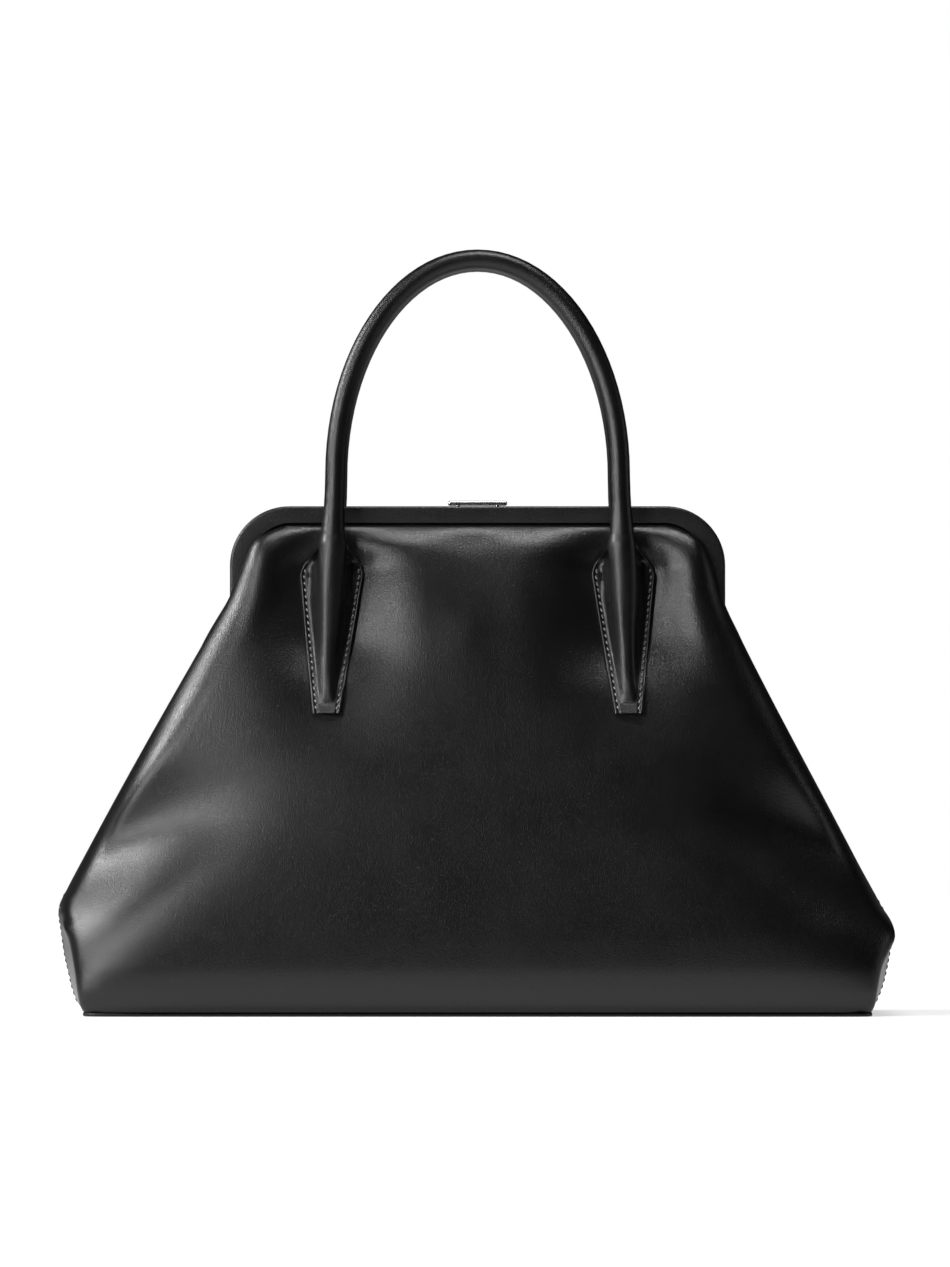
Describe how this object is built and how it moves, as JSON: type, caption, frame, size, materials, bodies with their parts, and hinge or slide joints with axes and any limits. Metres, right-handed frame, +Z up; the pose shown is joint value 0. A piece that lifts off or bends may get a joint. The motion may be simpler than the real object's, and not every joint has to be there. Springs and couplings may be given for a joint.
{
  "type": "frame-top handbag",
  "caption": "Structured leather handbag with a trapezoid body, a hinged leather-wrapped frame with a push clasp along the top, and rolled arch handles on stitched tabs",
  "frame": {"origin": "centre of the base, on the surface the bag stands on", "axes": "+X to the right as seen from the front, -Y the front, +Z up"},
  "size_m": [0.4212, 0.1436, 0.3861],
  "materials": {
    "calf": "satin",
    "frame_leather": "satin",
    "lining": "matte",
    "board": "matte",
    "steel": "satin",
    "chrome": "polished",
    "rope": "matte"
  },
  "bodies": {
    "bag_body": {"base_panel": "calf", "base_board": "board", "base_lining": "lining", "front_panel": "calf", "back_panel": "calf", "front_lining": "lining", "back_lining": "lining", "inner_pocket": "lining", "left_hinge_pin": "steel", "right_hinge_pin": "steel", "left_inner_washer": "steel", "left_outer_washer": "steel", "right_inner_washer": "steel", "right_outer_washer": "steel", "front_left_tab": "calf", "front_right_tab": "calf", "back_left_tab": "calf", "back_right_tab": "calf"},
    "front_frame": {"front_frame_cover": "frame_leather", "front_frame_core": "steel", "clasp_tongue": "steel"},
    "back_frame": {"back_frame_cover": "frame_leather", "back_frame_core": "steel", "clasp_housing": "steel", "latch_spring": "steel"},
    "front_handle": {"front_handle_cover": "calf", "front_handle_core": "rope"},
    "back_handle": {"back_handle_cover": "calf", "back_handle_core": "rope"},
    "clasp_button": {"clasp_bar": "chrome"}
  },
  "joints": [
    {"name": "front_frame_hinge", "type": "hinge", "parent": "bag_body", "child": "front_frame", "pos_m": [0, 0, 0.196], "axis": [1, 0, 0], "range_deg": [0, 30], "deforming": ["front_panel", "front_lining", "front_left_tab", "front_right_tab"]},
    {"name": "back_frame_hinge", "type": "hinge", "parent": "bag_body", "child": "back_frame", "pos_m": [0, 0, 0.196], "axis": [-1, 0, 0], "range_deg": [0, 30], "deforming": ["back_panel", "back_lining", "inner_pocket", "back_left_tab", "back_right_tab"]},
    {"name": "front_handle_swing", "type": "hinge", "parent": "front_frame", "child": "front_handle", "pos_m": [0, -0.0274, 0.2386], "axis": [1, 0, 0], "range_deg": [0, 45]},
    {"name": "back_handle_swing", "type": "hinge", "parent": "back_frame", "child": "back_handle", "pos_m": [0, 0.0274, 0.2386], "axis": [-1, 0, 0], "range_deg": [0, 45]},
    {"name": "clasp_press", "type": "slide", "parent": "back_frame", "child": "clasp_button", "axis": [0, 0, -1], "range_m": [0, 0.0015], "stiffness_N_per_m": 400, "springref_m": -0.0005, "deforming": ["latch_spring"]}
  ]
}
